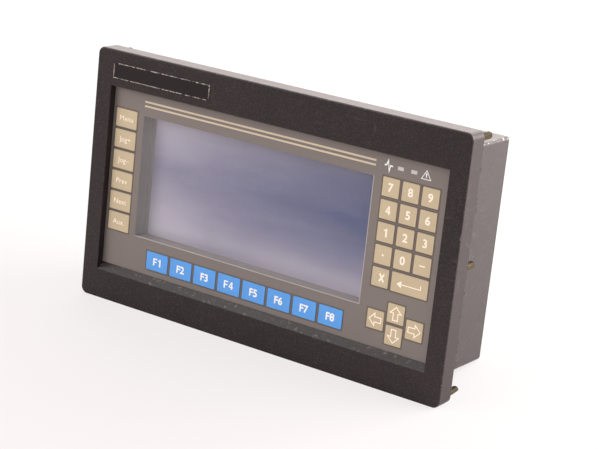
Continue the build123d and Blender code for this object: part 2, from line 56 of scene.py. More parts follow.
# %% [markdown]
# ## Small helpers for shader nodes
# A material is a handful of nodes. `Graph` keeps the calls short: `add` makes a node and fills its sockets,
# where a value that is itself a socket becomes a wire. This could be done by hand in the shader editor.
# Writing it once here keeps each finish down to the few lines that make it different.

# %% Shader helpers
class Graph:
    """A node tree that is filled one call at a time."""

    def __init__(self, tree):
        self.tree = tree

    def add(self, kind, inputs=None, **settings):
        node = self.tree.nodes.new(kind)
        for name, value in settings.items():
            setattr(node, name, value)
        for name, value in (inputs or {}).items():
            self.feed(node, name, value)
        return node

    def feed(self, node, name, value):
        socket = node.inputs[name]
        if isinstance(value, bpy.types.NodeSocket):
            self.tree.links.new(value, socket)
        else:
            socket.default_value = value

    def math(self, operation, a, b=0.0):
        node = self.add("ShaderNodeMath", {0: a, 1: b}, operation=operation)
        return node.outputs[0]

    def mix(self, factor, a, b):
        node = self.add("ShaderNodeMix", data_type="RGBA")
        self.feed(node, 0, factor)
        self.feed(node, 6, a)
        self.feed(node, 7, b)
        return node.outputs[2]

    def noise(self, scale, detail=3.0, roughness=0.5, vector=None):
        inputs = {"Scale": scale, "Detail": detail, "Roughness": roughness}
        if vector is not None:
            inputs["Vector"] = vector
        return self.add("ShaderNodeTexNoise", inputs).outputs["Fac"]

    def ramp(self, value, low, high):
        """0 under low, 1 over high."""
        inputs = {"Value": value, "From Min": low, "From Max": high}
        return self.add("ShaderNodeMapRange", inputs).outputs[0]

    def place(self, stretch=(1.0, 1.0, 1.0)):
        """Object coordinates, stretched along the object's own axes."""
        where = self.add("ShaderNodeTexCoord").outputs["Object"]
        return self.add("ShaderNodeMapping", {"Vector": where, "Scale": stretch}).outputs[0]


def rgb(red, green, blue):
    """A screen colour, 0 to 255, as the linear value that a socket wants."""
    def linear(value):
        share = value / 255
        return share / 12.92 if share < 0.04045 else ((share + 0.055) / 1.055) ** 2.4
    return (linear(red), linear(green), linear(blue), 1.0)


def new_group(name, inputs, outputs):
    """An empty node group with float inputs and outputs, and its graph."""
    tree = bpy.data.node_groups.new(name, "ShaderNodeTree")
    for label, value in inputs.items():
        socket = tree.interface.new_socket(label, in_out="INPUT", socket_type="NodeSocketFloat")
        socket.default_value = value
    for label in outputs:
        tree.interface.new_socket(label, in_out="OUTPUT", socket_type="NodeSocketFloat")
    graph = Graph(tree)
    return tree, graph, graph.add("NodeGroupInput"), graph.add("NodeGroupOutput")


# %% [markdown]
# ## Shared effect: moulding grain
# The bezel, the overlay and the painted box all carry a fine texture that breaks up reflections. On a real
# part it is etched into the tool or comes from the spray. It could be modelled as displacement, which needs
# millions of faces. Here two noises are added into one height for a Bump node, one broad noise gives a tone
# that varies slowly over the surface, and a fine one gives the speckle that dust in the grain makes.

# %% Group: grain
COARSE_SHARE = 0.35
SPECKLE_SCALE = 1600.0
grain_tree, g, g_in, g_out = new_group("grain", {"Scale": 2400.0, "Broad scale": 40.0},
                                       ["Height", "Tone", "Speckle"])
where = g.place()
fine = g.noise(g_in.outputs["Scale"], 2.0, 0.6, where)
coarse = g.noise(g.math("MULTIPLY", g_in.outputs["Scale"], COARSE_SHARE), 2.0, 0.5, where)
g.feed(g_out, "Height", g.math("ADD", g.math("MULTIPLY", fine, 0.6), g.math("MULTIPLY", coarse, 0.4)))
g.feed(g_out, "Tone", g.noise(g_in.outputs["Broad scale"], 4.0, 0.6, where))
g.feed(g_out, "Speckle", g.ramp(g.noise(SPECKLE_SCALE, 3.0, 0.75, where), 0.5, 0.75))
print("group", grain_tree.name)

# %% [markdown]
# ## Shared effect: worn edges, and a painted highlight on the bezel
# Handling polishes corners and knocks paint off them. Painting a mask by hand would work for one model only.
# The Bevel node instead rounds the normal near an edge, so the angle between that normal and the true one is
# a mask that follows any shape. Where an edge is already rounded in the model those two agree, so a second
# test is added: on a boxy part a normal that points along no axis can only be on a rounded edge. A noise
# breaks the mask up, because wear is never even. On the bezel the pale rounded edges this gives are partly
# wear and partly a painted highlight line.

# %% Group: worn edges
PATCH_BORDER = 0.12
wear_and_highlight_tree, g, g_in, g_out = new_group("worn_and_highlit_edges", {"Radius": 0.0006, "Patches": 300.0, "Amount": 0.5,
                                                     "Boxy": 0.0}, ["Mask"])
rounded = g.add("ShaderNodeBevel", {"Radius": g_in.outputs["Radius"]}, samples=4).outputs[0]
true_normal = g.add("ShaderNodeNewGeometry").outputs["Normal"]
alike = g.add("ShaderNodeVectorMath", {0: rounded, 1: true_normal}, operation="DOT_PRODUCT").outputs["Value"]
sharp_edge = g.ramp(alike, 0.97, 0.8)
axes = g.add("ShaderNodeSeparateXYZ", {0: true_normal})
along = [g.math("ABSOLUTE", axes.outputs[axis]) for axis in ("X", "Y", "Z")]
nearest_axis = g.math("MAXIMUM", g.math("MAXIMUM", along[0], along[1]), along[2])
round_edge = g.math("MULTIPLY", g.ramp(nearest_axis, 0.985, 0.9), g_in.outputs["Boxy"])
edge = g.math("MAXIMUM", sharp_edge, round_edge)
patches = g.noise(g_in.outputs["Patches"], 4.0, 0.7, g.place())
limit = g.math("SUBTRACT", 1.0, g_in.outputs["Amount"])
broken = g.add("ShaderNodeMapRange", {"Value": patches, "From Min": limit,
                                      "From Max": g.math("ADD", limit, PATCH_BORDER)}).outputs[0]
g.feed(g_out, "Mask", g.math("MULTIPLY", edge, broken))
print("group", wear_and_highlight_tree.name)

# %% [markdown]
# ## Shared effect: scuffs and dust
# Years of wiping leave short pale rubs, mostly across the face. Two noises stretched along crossing
# directions give thin streaks, and a third, much broader noise decides where a surface has been rubbed at
# all.

# %% Group: scuffs
scuff_tree, g, g_in, g_out = new_group("scuffs", {"Streaks": 160.0, "Spread": 14.0, "Amount": 0.5}, ["Mask"])
along = g.noise(g_in.outputs["Streaks"], 5.0, 0.7, g.place((0.5, 1.0, 2.6)))
across = g.noise(g_in.outputs["Streaks"], 5.0, 0.7, g.place((2.4, 1.0, 0.6)))
streak = g.math("MAXIMUM", g.ramp(along, 0.58, 0.72), g.ramp(across, 0.6, 0.74))
region = g.noise(g_in.outputs["Spread"], 2.0, 0.5, g.place())
rubbed = g.ramp(region, 0.45, 0.7)
g.feed(g_out, "Mask", g.math("MULTIPLY", g.math("MULTIPLY", streak, rubbed), g_in.outputs["Amount"]))
print("group", scuff_tree.name)


# %% [markdown]
# ## A finish with grain, scuffs and worn edges
# Most of the visible pieces are the same kind of surface with different numbers: a base colour that drifts
# a little, a pale rub on top, a paler edge, and a fine bump. One function builds that chain, and each piece
# calls it with its own colours. The Principled BSDF stays in the material.

# %% Function: a textured finish
def use_group(graph, tree, **values):
    node = graph.add("ShaderNodeGroup")
    node.node_tree = tree
    for name, value in values.items():
        node.inputs[name.replace("_", " ")].default_value = value
    return node


def new_material(name):
    material = bpy.data.materials.new(name)
    material.use_nodes = True
    graph = Graph(material.node_tree)
    return material, graph, material.node_tree.nodes["Principled BSDF"]


GLOSS_DRIFT = 0.12
BUMP_DEPTH = 0.0002


def textured(name, colour, rub_colour, edge_colour, roughness, grain=2400.0, bump=0.12, drift=0.12,
             scuff=0.35, wear=0.4, metallic=0.0, wear_radius=0.0006, gloss=0.5, speckle=0.0, boxy=0.0,
             patches=300.0):
    """A coloured surface with moulded grain, pale rubs and worn edges."""
    material, graph, shader = new_material(name)
    texture = use_group(graph, grain_tree, Scale=grain, Broad_scale=45.0)
    rubs = use_group(graph, scuff_tree, Amount=scuff)
    edges = use_group(graph, wear_and_highlight_tree, Amount=wear, Radius=wear_radius, Boxy=boxy, Patches=patches)
    dark = tuple(channel * (1 - drift) for channel in colour[:3]) + (1.0,)
    light = tuple(min(1.0, channel * (1 + drift)) for channel in colour[:3]) + (1.0,)
    body = graph.mix(texture.outputs["Tone"], dark, light)
    dusty = graph.mix(graph.math("MULTIPLY", texture.outputs["Speckle"], speckle), body, rub_colour)
    rubbed = graph.mix(rubs.outputs["Mask"], dusty, rub_colour)
    graph.feed(shader, "Base Color", graph.mix(edges.outputs["Mask"], rubbed, edge_colour))
    gloss_change = graph.math("MULTIPLY", texture.outputs["Tone"], GLOSS_DRIFT)
    graph.feed(shader, "Roughness", graph.math("ADD", gloss_change, roughness - GLOSS_DRIFT / 2))
    shader.inputs["Metallic"].default_value = metallic
    shader.inputs["Specular IOR Level"].default_value = gloss
    relief = graph.add("ShaderNodeBump", {"Height": texture.outputs["Height"], "Strength": bump,
                                          "Distance": BUMP_DEPTH})
    graph.feed(shader, "Normal", relief.outputs[0])
    return material


def finish(node, material):
    """Gives a CAD node its material."""
    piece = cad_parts[node]
    piece.data.materials.clear()
    piece.data.materials.append(material)


# %% [markdown]
# ## The bezel and the box behind it
# The bezel is a black moulded frame with a matt, finely grained face. The box is pressed steel under a
# satin black paint that has chipped at its corners down to a pale primer. Both are near black, so their
# reflections do most of the work, and the roughness is what tells them apart.

# %% Bezel and housing
# The bezel's pale rounded edges (Boxy 0.5) are partly wear and partly a painted highlight line.
black_moulding = textured("black_moulding", rgb(36, 27, 27), rgb(98, 87, 85), rgb(124, 112, 108), 0.42,
                          bump=0.25, drift=0.35, scuff=0.42, wear=0.42, speckle=0.42, boxy=0.5, gloss=0.2)
coat = black_moulding.node_tree.nodes["Principled BSDF"]
coat.inputs["Coat Weight"].default_value = 0.1
coat.inputs["Coat Roughness"].default_value = 0.2
black_paint = textured("black_paint", rgb(42, 36, 36), rgb(112, 104, 101), rgb(200, 186, 170), 0.4,
                       grain=1500.0, bump=0.14, drift=0.25, scuff=0.4, wear=0.44, wear_radius=0.0007,
                       speckle=0.3, boxy=0.9, gloss=0.32, patches=650.0)
finish("bezel", black_moulding)
finish("rear_housing", black_paint)

# %% [markdown]
# ## The overlay and the keys
# The front of a membrane keypad is a textured polyester film, printed from behind. Its colour is flat but
# the texture scatters light, so it looks milky and warm. The keys are the same film in beige and in blue.
# Each key is its own piece here, because each one moves.

# %% Overlay and key films
overlay_film = textured("overlay_film", rgb(120, 109, 104), rgb(150, 140, 135), rgb(140, 130, 126), 0.5,
                        grain=3200.0, bump=0.1, drift=0.05, scuff=0.25, wear=0.3, wear_radius=0.0003)
beige_film = textured("beige_film", rgb(196, 176, 145), rgb(214, 198, 172), rgb(206, 190, 168), 0.5,
                      grain=3200.0, bump=0.1, drift=0.06, scuff=0.3, wear=0.35, wear_radius=0.0003)
blue_film = textured("blue_film", rgb(88, 158, 232), rgb(140, 188, 240), rgb(142, 188, 240), 0.45,
                     grain=3200.0, bump=0.1, drift=0.06, scuff=0.3, wear=0.35, wear_radius=0.0003)
finish("keypad_overlay", overlay_film)
F_KEYS = [f"key_f{number}" for number in range(1, 9)]
KEYS = sorted(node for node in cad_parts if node.startswith("key_"))
for node in KEYS:
    finish(node, blue_film if node in F_KEYS else beige_film)
print("keys", len(KEYS))

# %% [markdown]
# ## The display
# Behind the clear window sits a passive liquid crystal glass, which is slate blue when it is off. Seen at an
# angle, its polariser makes the blue deeper towards one side and milkier towards the other. That shift
# follows the viewing angle, so here it is a painted sheen: a fixed slow blend across the glass with soft
# clouds in it. The window itself is nearly invisible: it is a clear sheet that adds gloss and a faint haze of
# scratches.

# %% Display materials
VIEW_BAND_HEIGHT = 0.58
VIEW_BAND_STRENGTH = 0.55
VIEW_SIDE_STRENGTH = 0.9
VIEW_CORNER_STRENGTH = 0.66
CLOUD_SCALE = 14.0
CLOUD_STRENGTH = 0.5
CLEAREST = 0.07
HAZE = 0.05


def display_material():
    """Slate blue glass, painted sheen: deeper right and along a middle band, paler in the lower right corner.
    """
    material, graph, shader = new_material("liquid_crystal_glass")
    low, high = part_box("display_glass")
    where = graph.add("ShaderNodeTexCoord").outputs["Object"]
    axes = graph.add("ShaderNodeSeparateXYZ", {0: where})
    across = graph.ramp(axes.outputs["X"], low.x, high.x)
    up = graph.ramp(axes.outputs["Z"], low.z, high.z)
    off_painted_view_band = graph.math("ABSOLUTE", graph.math("SUBTRACT", up, VIEW_BAND_HEIGHT))
    painted_view_band = graph.math("MULTIPLY", graph.ramp(off_painted_view_band, 0.45, 0.0), VIEW_BAND_STRENGTH)
    painted_pale_corner = graph.math("MULTIPLY", graph.ramp(across, 0.3, 1.0), graph.ramp(up, 0.42, 0.05))
    # Painted sheen: the view-angle shift of the glass, fixed on it as a blend of pale, slate and deep.
    painted_view_level = graph.math("ADD", graph.math("MULTIPLY", across, VIEW_SIDE_STRENGTH), painted_view_band)
    painted_view_level = graph.math("SUBTRACT", painted_view_level, graph.math("MULTIPLY", painted_pale_corner, VIEW_CORNER_STRENGTH))
    clouds = graph.math("SUBTRACT", graph.noise(CLOUD_SCALE, 3.0, 0.5, graph.place((0.7, 1.0, 1.6))), 0.5)
    painted_view_level = graph.math("ADD", painted_view_level, graph.math("MULTIPLY", clouds, CLOUD_STRENGTH))
    pale, slate, deep = rgb(200, 192, 205), rgb(137, 133, 157), rgb(68, 76, 120)
    near = graph.mix(graph.ramp(painted_view_level, 0.1, 0.6), pale, slate)
    graph.feed(shader, "Base Color", graph.mix(graph.ramp(painted_view_level, 0.6, 1.25), near, deep))
    shader.inputs["Roughness"].default_value = 0.36
    shader.inputs["Specular IOR Level"].default_value = 0.3
    return material


def window_material():
    """A clear sheet: mostly see-through, with a light haze of fine scratches."""
    material, graph, shader = new_material("clear_window")
    wipes = graph.noise(60.0, 3.0, 0.6, graph.place((0.3, 1.0, 2.4)))
    haze = graph.math("MULTIPLY", graph.ramp(wipes, 0.45, 0.8), HAZE)
    graph.feed(shader, "Alpha", graph.math("ADD", haze, CLEAREST))
    shader.inputs["Base Color"].default_value = rgb(190, 188, 196)
    shader.inputs["Roughness"].default_value = 0.18
    return material


finish("display_glass", display_material())
finish("display_window", window_material())
frame_paint = textured("frame_paint", rgb(150, 142, 136), rgb(168, 160, 154), rgb(176, 168, 160), 0.5,
                       grain=1800.0, bump=0.08, drift=0.08, scuff=0.2, wear=0.2)
finish("display_frame", frame_paint)

# %% [markdown]
# ## Metals, rubber and the pieces inside
# Screws and connector shells are plated steel, the studs and spacers are brass that has dulled, and the
# boards are glass fibre under green lacquer. Most of these are inside the box, where only an opened panel
# shows them, but each still gets its own finish so that the parts read correctly when they are taken apart.

# %% Other finishes
dull_brass = textured("dull_brass", rgb(168, 146, 92), rgb(110, 100, 70), rgb(214, 196, 140), 0.38,
                      bump=0.1, drift=0.25, scuff=0.5, wear=0.5, metallic=0.9)
tarnished_brass = textured("tarnished_brass", rgb(104, 92, 76), rgb(62, 54, 46), rgb(176, 160, 132), 0.42,
                           bump=0.2, drift=0.35, scuff=0.7, wear=0.4, metallic=0.85, speckle=0.3)
plated_steel = textured("plated_steel", rgb(176, 176, 172), rgb(120, 118, 114), rgb(214, 214, 210), 0.3,
                        bump=0.06, drift=0.12, scuff=0.4, wear=0.4, metallic=1.0)
foam_rubber = textured("foam_rubber", rgb(34, 33, 33), rgb(70, 68, 66), rgb(60, 58, 56), 0.85,
                       grain=900.0, bump=0.6, drift=0.2, wear=0.2)
black_epoxy = textured("black_epoxy", rgb(36, 36, 38), rgb(70, 70, 72), rgb(60, 60, 62), 0.55)


def board_material():
    """Green lacquer on both faces and bare, pale glass fibre on the cut edges."""
    material, graph, shader = new_material("circuit_board")
    tone = use_group(graph, grain_tree, Broad_scale=300.0).outputs["Tone"]
    normal = graph.add("ShaderNodeNewGeometry").outputs["Normal"]
    facing = graph.math("ABSOLUTE", graph.add("ShaderNodeSeparateXYZ", {0: normal}).outputs["Y"])
    cut_edge = graph.ramp(facing, 0.6, 0.4)
    lacquer = graph.mix(tone, rgb(22, 82, 44), rgb(36, 104, 62))
    fibre = graph.mix(tone, rgb(150, 142, 128), rgb(172, 164, 148))
    graph.feed(shader, "Base Color", graph.mix(cut_edge, lacquer, fibre))
    graph.feed(shader, "Roughness", graph.math("ADD", graph.math("MULTIPLY", cut_edge, 0.4), 0.3))
    return material


green_lacquer = board_material()
green_moulding = textured("green_moulding", rgb(40, 128, 70), rgb(80, 150, 100), rgb(90, 160, 110), 0.45)
milky_acrylic = textured("milky_acrylic", rgb(225, 228, 232), rgb(240, 240, 242), rgb(245, 245, 245), 0.3)
# The lamp lenses are dark smoked plastic; their pale grey here is partly a painted sheen.
lamp_sheen_plastic = textured("lamp_sheen_plastic", rgb(206, 196, 192), rgb(226, 218, 214), rgb(230, 222, 218), 0.3,
                        bump=0.04, wear=0.2)
bare_plate = textured("bare_plate", rgb(170, 170, 168), rgb(150, 150, 148), rgb(200, 200, 198), 0.4,
                      grain=900.0, bump=0.05, metallic=0.8)
FINISHES = {
    "mounting_studs": tarnished_brass, "display_spacers": dull_brass, "board_spacers": dull_brass,
    "serial_ports": plated_steel, "jack_screws": plated_steel, "terminal_screws": plated_steel,
    "housing_screws": plated_steel, "switch_domes": plated_steel, "backup_battery": plated_steel,
    "panel_gasket": foam_rubber, "board_chips": black_epoxy, "board_headers": black_epoxy,
    "keypad_board": green_lacquer, "main_board": green_lacquer, "display_board": green_lacquer,
    "riser_board": green_lacquer, "power_terminal": green_moulding, "backlight": milky_acrylic,
    "indicator_leds": milky_acrylic, "lamp_lenses": lamp_sheen_plastic, "rating_plate": bare_plate,
}
for node, material in FINISHES.items():
    finish(node, material)
print("finishes", len(FINISHES))


# %% [markdown]
# ## The bare badge strip
# A thin black label sits in the top border. Its maker's name is left off, so it is one plain strip. Its
# edge has been picked and rubbed for years and the pale core of the label shows there in broken flecks. The
# distance from the strip's own outline is worked out from its size, and noise decides where the edge has
# gone.

# %% Badge strip
EDGE_WANDER = 0.8 * MM


def badge_material():
    material, graph, shader = new_material("badge_strip")
    low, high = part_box("name_badge")
    middle, half = (low + high) / 2, (high - low) / 2
    where = graph.add("ShaderNodeTexCoord").outputs["Object"]
    axes = graph.add("ShaderNodeSeparateXYZ", {0: where})
    from_x = graph.math("ABSOLUTE", graph.math("SUBTRACT", axes.outputs["X"], middle.x))
    from_z = graph.math("ABSOLUTE", graph.math("SUBTRACT", axes.outputs["Z"], middle.z))
    inset_x = graph.math("SUBTRACT", half.x, from_x)
    inset_z = graph.math("SUBTRACT", half.z, from_z)
    inset = graph.math("MINIMUM", inset_x, inset_z)
    wander = graph.math("MULTIPLY", graph.noise(700.0, 4.0, 0.8, where), EDGE_WANDER)
    rim = graph.ramp(graph.math("SUBTRACT", inset, wander), 0.04 * MM, -0.1 * MM)
    gaps = graph.ramp(graph.noise(480.0, 4.0, 0.9, graph.place((1.0, 1.0, 1.6))), 0.45, 0.56)
    flecks = graph.math("MULTIPLY", rim, gaps)
    body = graph.mix(graph.noise(60.0, 3.0, 0.6, where), rgb(22, 14, 15), rgb(32, 22, 22))
    graph.feed(shader, "Base Color", graph.mix(flecks, body, rgb(206, 192, 184)))
    shader.inputs["Roughness"].default_value = 0.45
    shader.inputs["Specular IOR Level"].default_value = 0.2
    return material


finish("name_badge", badge_material())

# %% [markdown]
# ## Printed ink
# Legends, stripes and signs are thin films of ink. A texture could hold them, but real geometry stays crisp
# at any distance and needs no image. Each is a flat shape with a few hundredths of a millimetre of body,
# sitting on the film under it, and it rides on the key that it labels.

# %% Ink materials and the flat prism
cream_ink = textured("cream_ink", rgb(255, 238, 218), rgb(240, 226, 206), rgb(250, 236, 218), 0.5,
                     bump=0.03, drift=0.03, scuff=0.3, wear=0.0)
white_ink = textured("white_ink", rgb(250, 248, 246), rgb(226, 230, 238), rgb(245, 245, 245), 0.5,
                     bump=0.03, drift=0.02, scuff=0.3, wear=0.0)
stripe_ink = textured("stripe_ink", rgb(208, 190, 164), rgb(190, 174, 152), rgb(212, 196, 170), 0.5,
                      bump=0.03, drift=0.04, scuff=0.4, wear=0.0)
# Painted shade colour: the darker rings round the keys stand in for the shadow in the embossed gaps.
brown_ink = textured("brown_ink", rgb(96, 84, 76), rgb(124, 112, 104), rgb(110, 98, 90), 0.55,
                     grain=3200.0, bump=0.06, drift=0.06, scuff=0.2, wear=0.0)
INK = 0.03 * MM


def place_piece(mesh, name, material, body):
    piece = bpy.data.objects.new(name, mesh)
    bpy.context.scene.collection.objects.link(piece)
    mesh.materials.clear()
    mesh.materials.append(material)
    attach(piece, body)
    return piece


def solid_mesh(bm, name):
    """Turns a filled bmesh into a mesh whose faces all look outwards."""
    bmesh.ops.recalc_face_normals(bm, faces=bm.faces)
    mesh = bpy.data.meshes.new(name)
    bm.to_mesh(mesh)
    bm.free()
    return mesh


def prism(bm, outline, front, back):
    """Adds a closed prism with the given (x, z) outline between two Y levels."""
    near = [bm.verts.new((x, front, z)) for x, z in outline]
    far = [bm.verts.new((x, back, z)) for x, z in outline]
    bm.faces.new(near)
    bm.faces.new(list(reversed(far)))
    for i in range(len(outline)):
        j = (i + 1) % len(outline)
        bm.faces.new([near[i], far[i], far[j], near[j]])


def flat_piece(name, outlines, front, back, material, body):
    """One piece made of prisms that share two Y levels."""
    bm = bmesh.new()
    for outline in outlines:
        prism(bm, outline, front, back)
    return place_piece(solid_mesh(bm, name), name, material, body)


def ink_piece(name, outlines, surface, material, body, thickness=INK):
    """Flat inked shapes that stand on a surface facing the reader."""
    flat_piece(name, outlines, surface - thickness, surface + thickness, material, body)


def rectangle(centre, width, height):
    x, z = centre
    return [(x - width / 2, z - height / 2), (x + width / 2, z - height / 2),
            (x + width / 2, z + height / 2), (x - width / 2, z + height / 2)]


def disc(centre, radius, sides=24):
    return [(centre[0] + radius * math.cos(2 * math.pi * i / sides),
             centre[1] + radius * math.sin(2 * math.pi * i / sides)) for i in range(sides)]


print("ink film", INK / MM, "mm")


# %% [markdown]
# ## A stroke with mitred corners
# Outlined arrows and the pulse sign are lines that turn. Bars laid end to end leave notches at each corner,
# so the stroke is offset to both sides and its corners are mitred, the way a pen plotter's outline is cut.

# %% Function: mitred stroke
SHARPEST_MITRE = 0.35


def offset_line(points, distance, closed):
    """The line moved sideways by a distance, meeting at mitred corners."""
    moved = []
    count = len(points)
    for i in range(count):
        here = Vector(points[i])
        before = Vector(points[i - 1]) if closed or i > 0 else None
        after = Vector(points[(i + 1) % count]) if closed or i < count - 1 else None
        into = (here - before).normalized() if before is not None else (after - here).normalized()
        away = (after - here).normalized() if after is not None else into
        normal_in, normal_out = Vector((-into.y, into.x)), Vector((-away.y, away.x))
        mitre = (normal_in + normal_out).normalized()
        reach = distance / max(SHARPEST_MITRE, mitre.dot(normal_in))
        moved.append(tuple(here + mitre * reach))
    return moved


def stroke_mesh(name, points, width, closed, surface):
    """A ribbon of ink along a line, as a closed solid."""
    inner = offset_line(points, -width / 2, closed)
    outer = offset_line(points, width / 2, closed)
    bm = bmesh.new()
    layers = [[[bm.verts.new((x, y, z)) for x, z in line] for line in (inner, outer)]
              for y in (surface - INK, surface + INK)]
    steps = len(points) if closed else len(points) - 1
    (near_in, near_out), (far_in, far_out) = layers
    for i in range(steps):
        j = (i + 1) % len(points)
        bm.faces.new([near_in[i], near_in[j], near_out[j], near_out[i]])
        bm.faces.new([far_in[i], far_out[i], far_out[j], far_in[j]])
        bm.faces.new([near_in[i], far_in[i], far_in[j], near_in[j]])
        bm.faces.new([near_out[i], near_out[j], far_out[j], far_out[i]])
    if not closed:
        for k in (0, len(points) - 1):
            bm.faces.new([near_in[k], near_out[k], far_out[k], far_in[k]])
    return solid_mesh(bm, name)


def stroke(name, points, width, closed, surface, material, body):
    place_piece(stroke_mesh(name, points, width, closed, surface), name, material, body)


print("stroke ready")


# %% [markdown]
# ## Lettering
# Key legends use the plain sans letters that Blender carries. A text object is made and turned into a mesh,
# so that its capital height can be set exactly from a measured capital H. The outline of digits and F keys
# is thickened to a bold weight first. The short words keep the plain weight, because thickening breaks some
# of their letters.

# %% Function: letters
ANY_DEPTH = 0.01
CURVE_STEPS = 6


def letter_mesh(text, weight):
    """Letters as a mesh. Any depth will do here, because legend() sets the real one."""
    curve = bpy.data.curves.new("letters", "FONT")
    curve.body = text
    curve.align_x = "CENTER"
    curve.offset = weight
    curve.extrude = ANY_DEPTH
    curve.resolution_u = CURVE_STEPS
    holder = bpy.data.objects.new("letters", curve)
    mesh = bpy.data.meshes.new_from_object(holder)
    bpy.data.objects.remove(holder)
    bpy.data.curves.remove(curve)
    return mesh


def extents(mesh):
    xs = [v.co.x for v in mesh.vertices]
    ys = [v.co.y for v in mesh.vertices]
    return min(xs), max(xs), min(ys), max(ys)


LETTER_WEIGHT = 0.028
_, _, CAPITAL_LOW, CAPITAL_HIGH = extents(letter_mesh("H", LETTER_WEIGHT))
CAPITAL_HEIGHT = CAPITAL_HIGH - CAPITAL_LOW


def legend(text, key, height, material, narrow=1.0, weight=LETTER_WEIGHT):
    """Letters centred on a key, with capitals of the given height."""
    low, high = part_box(key)
    centre_x, centre_z = (low.x + high.x) / 2, (low.z + high.z) / 2
    mesh = letter_mesh(text, weight)
    left, right, _, _ = extents(mesh)
    scale = height / CAPITAL_HEIGHT
    for vertex in mesh.vertices:
        x = (vertex.co.x - (left + right) / 2) * scale * narrow
        z = (vertex.co.y - CAPITAL_LOW) * scale - height / 2
        vertex.co = Vector((centre_x + x, low.y - INK * (1 if vertex.co.z > 0 else -1), centre_z + z))
    place_piece(mesh, f"{key}_legend", material, key)


print("capital height", round(CAPITAL_HEIGHT, 3))

# %% [markdown]
# ## Words, numbers and F keys
# The menu column carries short words, the pad carries digits, and the blue row carries F1 to F8. The
# letters stand upright in the middle of each key.

# %% Legends
WORDS = {"key_menu": "Menu", "key_jog_plus": "Jog+", "key_jog_minus": "Jog\u2013", "key_prev": "Prev",
         "key_next": "Next", "key_aux": "Aux."}
WORD_HEIGHT = 3.1 * MM
DIGIT_HEIGHT = 4.5 * MM
F_HEIGHT = 4.3 * MM
for key, word in WORDS.items():
    legend(word, key, WORD_HEIGHT, cream_ink, narrow=1.05, weight=0.0)
DRAWN_DIGITS = (1, 4)
for digit in range(10):
    if digit not in DRAWN_DIGITS:
        legend(str(digit), f"key_{digit}", DIGIT_HEIGHT, cream_ink)
for number, key in enumerate(F_KEYS, start=1):
    if number not in DRAWN_DIGITS:
        legend(f"F{number}", key, F_HEIGHT, white_ink)


# %% [markdown]
# ## Point, minus, clear, enter and arrow keys
# These keys carry signs instead of letters. Each sign is drawn about its key's centre in millimetres. The
# figures 1 and 4 are drawn here too, in shares of the letter height: the built-in 1 has no flag, and the
# inside of the built-in 4 closes up when it is thickened. F1 and F4 take a drawn F to match.

# %% Signs on keys
def key_centre(key):
    low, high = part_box(key)
    return Vector(((low.x + high.x) / 2, (low.z + high.z) / 2)), low.y


def around(centre, points, size, turn=0.0):
    """Points of a sign, turned, scaled and moved to a centre."""
    spin = Matrix.Rotation(turn, 2)
    return [tuple(centre + spin @ Vector(point) * size) for point in points]


ONE = [(0.2, -0.5), (0.42, -0.5), (0.42, 0.5), (0.26, 0.5), (0.2, 0.4), (0.0, 0.33), (0.0, 0.18),
       (0.2, 0.22)]
FOUR_FOOT = [(0.0, -0.28), (0.36, -0.28), (0.36, -0.5), (0.55, -0.5), (0.55, -0.28), (0.66, -0.28),
             (0.66, -0.12), (0.0, -0.12)]
FOUR_ARM = [(0.0, -0.12), (0.36, 0.5), (0.55, 0.5), (0.55, -0.12), (0.36, -0.12), (0.36, 0.22),
            (0.16, -0.12)]
LETTER_F = [(0.0, -0.5), (0.2, -0.5), (0.2, -0.08), (0.58, -0.08), (0.58, 0.08), (0.2, 0.08), (0.2, 0.33),
            (0.66, 0.33), (0.66, 0.5), (0.0, 0.5)]
DRAWN = {1: ([ONE], 0.42), 4: ([FOUR_FOOT, FOUR_ARM], 0.66)}
LETTER_WIDTH = 0.66
LETTER_SPACE = 0.14


def drawn_legend(key, glyphs, height, material):
    """A legend from drawn outlines, each glyph a list of outlines and its width, set in a row on a key."""
    centre, surface = key_centre(key)
    total = sum(width for _, width in glyphs) + LETTER_SPACE * (len(glyphs) - 1)
    start = -total / 2
    placed = []
    for outlines, width in glyphs:
        origin = centre + Vector((start * height, 0))
        placed += [around(origin, outline, height) for outline in outlines]
        start += width + LETTER_SPACE
    ink_piece(f"{key}_legend", placed, surface, material, key)


for digit in DRAWN_DIGITS:
    drawn_legend(f"key_{digit}", [DRAWN[digit]], DIGIT_HEIGHT, cream_ink)
    drawn_legend(f"key_f{digit}", [([LETTER_F], LETTER_WIDTH), DRAWN[digit]], F_HEIGHT, white_ink)

POINT_RADIUS = 0.62 * MM
MINUS_LENGTH = 3.2 * MM
MINUS_PEN = 0.75 * MM
centre, surface = key_centre("key_point")
ink_piece("key_point_legend", [disc(centre, POINT_RADIUS)], surface, cream_ink, "key_point")
centre, surface = key_centre("key_minus")
ink_piece("key_minus_legend", [rectangle(centre, MINUS_LENGTH, MINUS_PEN)], surface, cream_ink, "key_minus")

TAG_PEN = 0.3 * MM
CROSS_PEN = 1.0 * MM
CROSS_SHIFT = 0.9 * MM
centre, surface = key_centre("key_clear")
TAG = [(-3.9, 0.0), (-1.6, 3.1), (3.7, 3.1), (3.7, -3.1), (-1.6, -3.1)]
stroke("key_clear_outline", around(centre, TAG, MM), TAG_PEN, True, surface, stripe_ink, "key_clear")
cross = centre + Vector((CROSS_SHIFT, 0.0))
CROSS_ARM = [(-1.35, -2.15), (1.35, 2.15)]
CROSS_BACK = [(-1.35, 2.15), (1.35, -2.15)]
stroke("key_clear_cross_up", around(cross, CROSS_ARM, MM), CROSS_PEN, False, surface, cream_ink, "key_clear")
stroke("key_clear_cross_down", around(cross, CROSS_BACK, MM), CROSS_PEN, False, surface - INK / 2, cream_ink,
       "key_clear")

